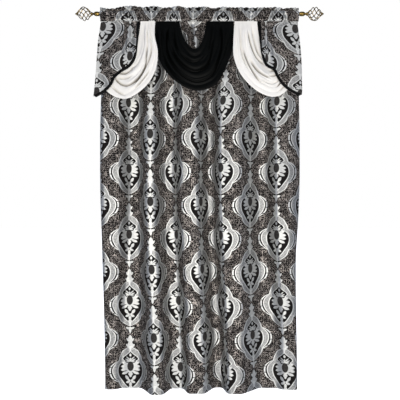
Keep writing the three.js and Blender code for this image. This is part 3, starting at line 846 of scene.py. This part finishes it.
for side, table in FALLS.items():
    x, z, _ = valance_grid(table, FALL_ROWS, FALL_COLUMNS)
    at_edge, at_flap = 0, FLAP - 1
    if side == "left":
        x, z = x[:, ::-1], z[:, ::-1]
        at_edge, at_flap = -1, -FLAP
    seed_x, seed_z, pleat_start, pleat_end, seam_take_up, foot_take_up = FALL_FIGURES[side]
    outwards = np.abs(x) - abs(seed_x)
    loose = 1 - smoothstep(z, -200, SEAM_BOTTOM)
    soft = 2 + 3.5 * np.sin(x / 26) + 2 * np.sin(x / 41 + 1)
    pleats = PLEAT_HEIGHT * smoothstep(-z, 50, 90) * smoothstep(z, -300, -120)
    pleats *= smoothstep(outwards, -44, -30) * (1 - smoothstep(outwards, 38, 55))
    pleats *= np.sin(2 * np.pi * outwards / PLEAT_SPACING)
    net = np.stack([x, valance_y(x, z) - loose * soft - pleats, z], axis=-1)
    pleated = smoothstep(outwards, pleat_start, pleat_end)
    take_up = lerp(foot_take_up, seam_take_up, smoothstep(z, -330, -100))
    flat_x = SEED_X + HALF_REPEAT_X + np.sign(seed_x) * (outwards + take_up * pleated)
    flat_z = SEED_Y + REPEAT_Y / 2 + z - seed_z + SEED_LIFT * outwards
    flat = np.stack([flat_x, flat_z], axis=-1)
    fall = make_sheet(f"fall_{side}_cloth", net, flat, DAMASK, damask)
    seat(fall, f"jabot_{side}")

    normals = net_normals(net)[1:, at_edge]
    edge = net[1:, at_edge]
    inwards = net[1:, at_flap] - edge
    along = np.gradient(edge, axis=0)
    along /= np.linalg.norm(along, axis=1, keepdims=True)
    inwards -= along * np.sum(inwards * along, axis=1, keepdims=True)
    inwards /= np.linalg.norm(inwards, axis=1, keepdims=True)
    strip = np.stack([edge + inwards * inset + normals * AWAY * out for inset, out in TURNED_LINE], axis=1)
    over = [inset - STRIP_HALF * out for inset, out in TURNED_LINE]
    strip_flat = np.stack(np.meshgrid(run_along(edge), over, indexing="ij"), axis=-1)
    if side == "right":
        strip, strip_flat = strip[:, ::-1], strip_flat[:, ::-1]
    binding = make_sheet(f"binding_{side}_strip", strip, strip_flat, BINDING, [satin_binding])
    seat(binding, f"binding_{side}")

# %% [markdown]
# ## The swags
#
# A swag is cut on the bias and pleated into the seam, so its folds hang as curves from pleat to pleat. Each
# table row is a section with the swag's upper (inner) and lower (outer) edge. Broad folds are ridges along
# the sections. Over them run narrow creases where one pleat lies on the next, each with its own start and
# end, because no two pleats are caught alike.

# %% Tables of the swags
SWAG_TUCK = 9.0
SIDE_TUCK = 6.0
# Sections along the swag: x and z at the inner edge, then x and z at the outer edge
SWAGS = {
    "left": [
        (-326, -44, -247, -44), (-332, -95, -246, -133), (-342, -151, -229, -214),
        (-358, -209, -234, -300), (-373, -247, -264, -380), (-384, -264, -323, -447),
        (-392, -273, -393, -484), (-398, -277, -460, -472), (-404, -281, -517, -433),
    ],
    "centre": [
        (-111, -44, -243, -44), (-100, -95, -246, -151), (-83, -148, -222, -262), (-55, -188, -150, -371),
        (-28, -206, -24, -442), (-3, -188, 84, -411), (17, -151, 143, -312), (30, -98, 186, -180),
        (38, -44, 190, -44),
    ],
    "right": [
        (319, -44, 195, -44), (326, -98, 187, -151), (336, -162, 187, -243), (350, -226, 211, -323),
        (367, -264, 253, -388), (382, -283, 318, -447), (395, -296, 388, -474), (408, -306, 442, -463),
        (420, -313, 487, -428),
    ],
}
# Ridges across a swag: place from the inner edge at 0 to the outer at 1, height, half-width, and how far
# the place moves from the first section to the last
WHITE_RIDGES = [
    (0.27, 7, 0.1, 0.02), (0.43, 13, 0.1, -0.03), (0.6, 15, 0.1, 0.02), (0.77, 13, 0.1, -0.02),
    (0.94, 10, 0.1, 0.0),
]
BLACK_RIDGES = [
    (0.07, 8, 0.1, 0.0), (0.25, 12, 0.11, 0.02), (0.43, 13, 0.11, -0.02), (0.61, 12, 0.11, 0.02),
    (0.78, 13, 0.1, -0.02), (0.94, 9, 0.1, 0.0),
]
# Creases: the shares of the swag's length between which one shows, its place across where it starts, midway
# and where it ends, and its depth
CREASES = {
    "left": [
        (0.02, 0.35, 0.25, 0.3, 0.35, 6), (0.05, 0.35, 0.5, 0.5, 0.52, 6),
        (0.02, 0.3, 0.75, 0.72, 0.7, 8), (0.3, 1.0, 0.5, 0.66, 0.55, 18),
        (0.28, 0.66, 0.72, 0.64, 0.72, 15), (0.45, 0.66, 0.8, 0.79, 0.83, 15),
        (0.78, 0.96, 0.9, 0.85, 0.8, 14), (0.6, 0.98, 0.27, 0.31, 0.36, 18),
        (0.4, 0.62, 0.32, 0.3, 0.27, 10), (0.68, 0.95, 0.46, 0.46, 0.5, 12),
    ],
    "centre": [
        (0.05, 0.97, 0.45, 0.78, 0.5, 12), (0.25, 0.8, 0.48, 0.55, 0.35, 10),
        (0.4, 0.62, 0.2, 0.18, 0.2, 6), (0.38, 0.65, 0.34, 0.31, 0.25, 7),
        (0.08, 0.42, 0.72, 0.82, 0.92, 8), (0.65, 0.92, 0.8, 0.8, 0.8, 8), (0.03, 0.33, 0.2, 0.3, 0.4, 8),
        (0.72, 0.95, 0.3, 0.25, 0.2, 8),
    ],
    "right": [
        (0.1, 0.52, 0.42, 0.31, 0.15, 18), (0.28, 0.42, 0.2, 0.15, 0.1, 14),
        (0.05, 0.3, 0.25, 0.22, 0.17, 12), (0.05, 0.4, 0.75, 0.73, 0.7, 12),
        (0.25, 0.6, 0.65, 0.62, 0.7, 18), (0.38, 0.72, 0.5, 0.47, 0.42, 18),
        (0.72, 0.92, 0.2, 0.13, 0.1, 15), (0.72, 0.98, 0.36, 0.3, 0.25, 14),
        (0.6, 0.95, 0.62, 0.58, 0.45, 9), (0.85, 1.0, 0.68, 0.62, 0.55, 18),
        (0.86, 1.0, 0.86, 0.82, 0.8, 12),
    ],
}
print("creases:", {name: len(table) for name, table in CREASES.items()})

# %% Relief of the swags
CREASE_WIDTH = 0.022  # as a share of the swag's width
# the painted shade in a crease grows with its depth up to this
CREASE_FULL_SHADE_DEPTH = 18.0  # a crease this deep is as dark as its cloth gets
CREASE_SLOPE = 2  # how much wider its side is where the pleat above slopes in
CREASE_FADE = 0.06  # half the share of the length over which a crease starts or ends


def ridge_height(ridges, across, share):
    return np.max([
        height * np.exp(-(((across - at - drift * share) / width) ** 2))
        for at, height, width, drift in ridges
    ], axis=0)


def crease_depth(creases, across, share):
    depths = np.zeros_like(across)
    for start, end, first, middle, last, depth in creases:
        t = np.clip((share - start) / (end - start), 0, 1)
        place = (1 - t) * (1 - 2 * t) * first + 4 * t * (1 - t) * middle + t * (2 * t - 1) * last
        begun = smoothstep(share, start - CREASE_FADE, start + CREASE_FADE)
        ended = smoothstep(share, end - CREASE_FADE, end + CREASE_FADE)
        width = CREASE_WIDTH * np.where(across > place, 1, CREASE_SLOPE)
        depths += depth * begun * (1 - ended) * np.exp(-(((across - place) / width) ** 2))
    return depths


print("deepest crease in millimetres:", max(row[-1] for rows in CREASES.values() for row in rows))

# %% Drape the swags
SWAG_ROWS, SWAG_COLUMNS = 91, 161
# Ridges, finish, slot, how many ends are in the seam, flat size and area in metres
SWAG_CLOTHS = {
    "left": (WHITE_RIDGES, white_crepe, "white_crepe", 1, (0.3, 0.5), 0.09),
    "centre": (BLACK_RIDGES, black_crepe, "black_crepe", 2, (0.46, 0.5), 0.165),
    "right": (WHITE_RIDGES, white_crepe, "white_crepe", 1, (0.3, 0.5), 0.098),
}
for name, table in SWAGS.items():
    ridges, finish, slot, seams, flat_size, area = SWAG_CLOTHS[name]
    x, z, share = valance_grid(table, SWAG_ROWS, SWAG_COLUMNS, seams)
    across, share = np.meshgrid(np.linspace(0, 1, SWAG_COLUMNS), share)
    loose = 1 - smoothstep(z, -120, SEAM_BOTTOM)
    # a swag with one seam passes behind its fall, and the sides of the centre one behind its neighbours
    behind = sideways = np.zeros_like(x)
    if seams == 1:
        behind = np.maximum(smoothstep(share, 0.62, 0.86), 1 - smoothstep(across, 0.18, 0.38))
    else:
        sideways = smoothstep(across, 0.8, 0.97) * smoothstep(np.abs(share - 0.5), 0.15, 0.3)
    depths = crease_depth(CREASES[name], across, share)
    relief = ridge_height(ridges, across, share) * (1 - 0.85 * behind) * (1 - sideways) - depths
    y = valance_y(x, z) + loose * (SWAG_TUCK * behind + SIDE_TUCK * sideways - relief)
    net = np.stack([x, y, z], axis=-1)
    # painted shade: deep creases get a darker colour than the cloth has, standing in for their shadow
    painted_shade = np.clip(depths / CREASE_FULL_SHADE_DEPTH, 0, 1) ** 2
    if net_normals(net)[..., 1].mean() > 0:
        net, painted_shade = net[:, ::-1], painted_shade[:, ::-1]
    down = run_along(net[:, SWAG_COLUMNS // 2])
    wide = run_along(net[len(net) // 2])
    flat = np.stack(np.meshgrid(wide, down), axis=-1)
    swag = make_sheet(f"swag_{name}_cloth", net, flat, CREPE, [finish], painted_shade)
    seat(swag, f"swag_{name}")

# %% [markdown]
# ## The rod and its finials
#
# The rod is a slim tube of aged brass. Each finial is a turned neck and a cage of six wires that wind from
# one small hub to another. Aged brass has a thin brown patina that is rubbed off where hands reach it, so
# the colour varies slowly and the dull patches are rougher.

# %% Aged brass finish
PATINA = 9.0  # size of the patches, in millimetres

aged_brass, tree, shader = new_finish("aged brass")
place = add(tree, "TexCoord").outputs["Object"]
patches = add(tree, "TexNoise", {"Vector": place, "Scale": 1 / (PATINA * MM), "Detail": 5.0})
dulled = add(tree, "MapRange", {"Value": patches, "From Min": 0.38, "From Max": 0.62})
colour = add(tree, "MixRGB", {0: dulled, 1: linear("#35280f"), 2: linear("#c4a45c")})
rough = add(tree, "MapRange", {"Value": dulled, "To Min": 0.36, "To Max": 0.2})
fill(tree, shader, {"Base Color": colour, "Roughness": rough, "Metallic": 1.0})
print("brass finish:", aged_brass.name)

# %% [markdown]
# Turned pieces are modelled as on a lathe: a disc at the first radius is extruded from row to row of a
# profile and scaled to each row's radius. The rod is the same thing with a small chamfer at its ends.

# %% Turn the rod and the necks
ROD_RADIUS = 9.5
ROD_LENGTH = 1112.0
SEAT_GAP = 0.3
COLLAR_LENGTH = 40.0
CHAMFER = 0.6
TURNED_SIDES = 40
ENDS = (("left", -1), ("right", 1))

# Profiles: each row is a radius and a place outwards
ROD_PROFILE = [
    (ROD_RADIUS - CHAMFER, -ROD_LENGTH / 2), (ROD_RADIUS, -ROD_LENGTH / 2 + CHAMFER),
    (ROD_RADIUS, ROD_LENGTH / 2 - CHAMFER), (ROD_RADIUS - CHAMFER, ROD_LENGTH / 2),
]
COLLAR_PROFILE = [
    (9.5, 0), (11.3, 3), (12.3, 8), (12.5, 14), (12, 20), (10.4, 25), (7.8, 28.5),
    (6, 31), (5.6, 34), (6.4, 36.5), (8.5, 38), (8.5, COLLAR_LENGTH),
]


def turn_piece(name, profile, start, side=1):
    """A turned solid along X: extruded outwards from a start, to the right (1) or to the left (-1)."""
    radius, out = profile[0]
    bpy.ops.mesh.primitive_circle_add(
        vertices=TURNED_SIDES, radius=radius * MM, fill_type="NGON",
        location=(side * (start + out) * MM, 0, 0), rotation=(0, math.pi / 2, 0))
    piece = bpy.context.object
    piece.name = piece.data.name = name
    bpy.ops.object.transform_apply(location=True, rotation=True)
    bpy.ops.object.mode_set(mode="EDIT")
    for (radius, out), (next_radius, next_out) in zip(profile, profile[1:]):
        step = (side * (next_out - out) * MM, 0, 0)
        middle = (side * (start + next_out) * MM, 0, 0)
        scale = next_radius / radius
        bpy.ops.mesh.extrude_region_move(TRANSFORM_OT_translate={"value": step})
        bpy.ops.transform.resize(value=(1, scale, scale), center_override=middle)
    bpy.ops.mesh.select_all(action="SELECT")
    bpy.ops.mesh.normals_make_consistent(inside=False)
    bpy.ops.object.mode_set(mode="OBJECT")
    bpy.ops.object.shade_smooth_by_angle(angle=math.radians(40))
    piece.data.materials.append(aged_brass)
    return piece


rod = turn_piece("brass_rod", ROD_PROFILE, 0)
seat(rod, "rod")
neck_profile = smooth_line(COLLAR_PROFILE, np.linspace(0, 1, 45))
for name, side in ENDS:
    collar = turn_piece(f"finial_neck_{name}", neck_profile, ROD_LENGTH / 2 + SEAT_GAP, side)
    seat(collar, f"collar_{name}")
print("rod faces:", len(rod.data.polygons), "neck faces:", len(collar.data.polygons))

# %% [markdown]
# One wire is a curve with a round section, made into a mesh, copied and turned about the rod's axis. The
# hubs and the tip are turned like the necks, and then all is joined into one piece, as brazing would.

# %% Wind the cages
CAGE_LENGTH = 86.0
CAGE_DIAMETER = 76.0
CAGE_WIRES = 6
CAGE_TWIST = 1.15 * math.pi
WIRE_RADIUS = 2.3
WIRE_BOW = 1.12  # above 1 the wires run straighter to the hubs
WIRE_STEPS = 48
HUB_RADIUS = 5.0
TIP_LENGTH = 9.0
HUB_PROFILE = [(9.4, 0), (10, 0.6), (9.7, 2.5), (9, 4.4), (8, 5)]
TIP_PROFILE = [
    (6.5, CAGE_LENGTH - 6), (8, CAGE_LENGTH - 5), (8.5, CAGE_LENGTH - 2.5), (7.6, CAGE_LENGTH),
    (5, CAGE_LENGTH + 1.6), (4.2, CAGE_LENGTH + 4), (2.6, CAGE_LENGTH + 7), (0.6, CAGE_LENGTH + TIP_LENGTH),
]


def wire_points(start, side):
    share = np.linspace(0, 1, WIRE_STEPS)
    bow = CAGE_DIAMETER / 2 - WIRE_RADIUS - HUB_RADIUS
    radius = HUB_RADIUS + bow * np.sin(np.pi * share) ** WIRE_BOW
    angle = CAGE_TWIST * share
    out = start + lerp(2.5, CAGE_LENGTH - 2.5, share)
    return np.column_stack([side * out, -side * radius * np.cos(angle), radius * np.sin(angle)]) * MM


start = ROD_LENGTH / 2 + COLLAR_LENGTH + 2 * SEAT_GAP
hub_profile = smooth_line(HUB_PROFILE, np.linspace(0, 1, 13))
tip_profile = smooth_line(TIP_PROFILE, np.linspace(0, 1, 25))
for name, side in ENDS:
    hub = turn_piece(f"finial_cage_{name}", hub_profile, start, side)
    tip = turn_piece("tip", tip_profile, start, side)
    curve = bpy.data.curves.new("wire", "CURVE")
    curve.dimensions = "3D"
    curve.bevel_depth = WIRE_RADIUS * MM
    curve.bevel_resolution = 4
    curve.use_fill_caps = True
    spline = curve.splines.new("POLY")
    spline.points.add(WIRE_STEPS - 1)
    for knot, point in zip(spline.points, wire_points(start, side)):
        knot.co = (*point, 1)
    wire = bpy.data.objects.new("wire", curve)
    scene.collection.objects.link(wire)
    select(wire)
    bpy.ops.object.convert(target="MESH")
    bpy.ops.object.shade_smooth_by_angle(angle=math.radians(60))
    wire.data.materials.append(aged_brass)
    wires = [wire]
    for _ in range(CAGE_WIRES - 1):
        bpy.ops.object.duplicate()
        bpy.ops.transform.rotate(value=2 * math.pi / CAGE_WIRES, orient_axis="X", center_override=(0, 0, 0))
        bpy.ops.object.transform_apply(rotation=True)
        wires.append(bpy.context.object)
    select(*wires, tip, hub)
    bpy.ops.object.join()
    seat(hub, f"cage_{name}")
    print(hub.name, "faces:", len(hub.data.polygons))
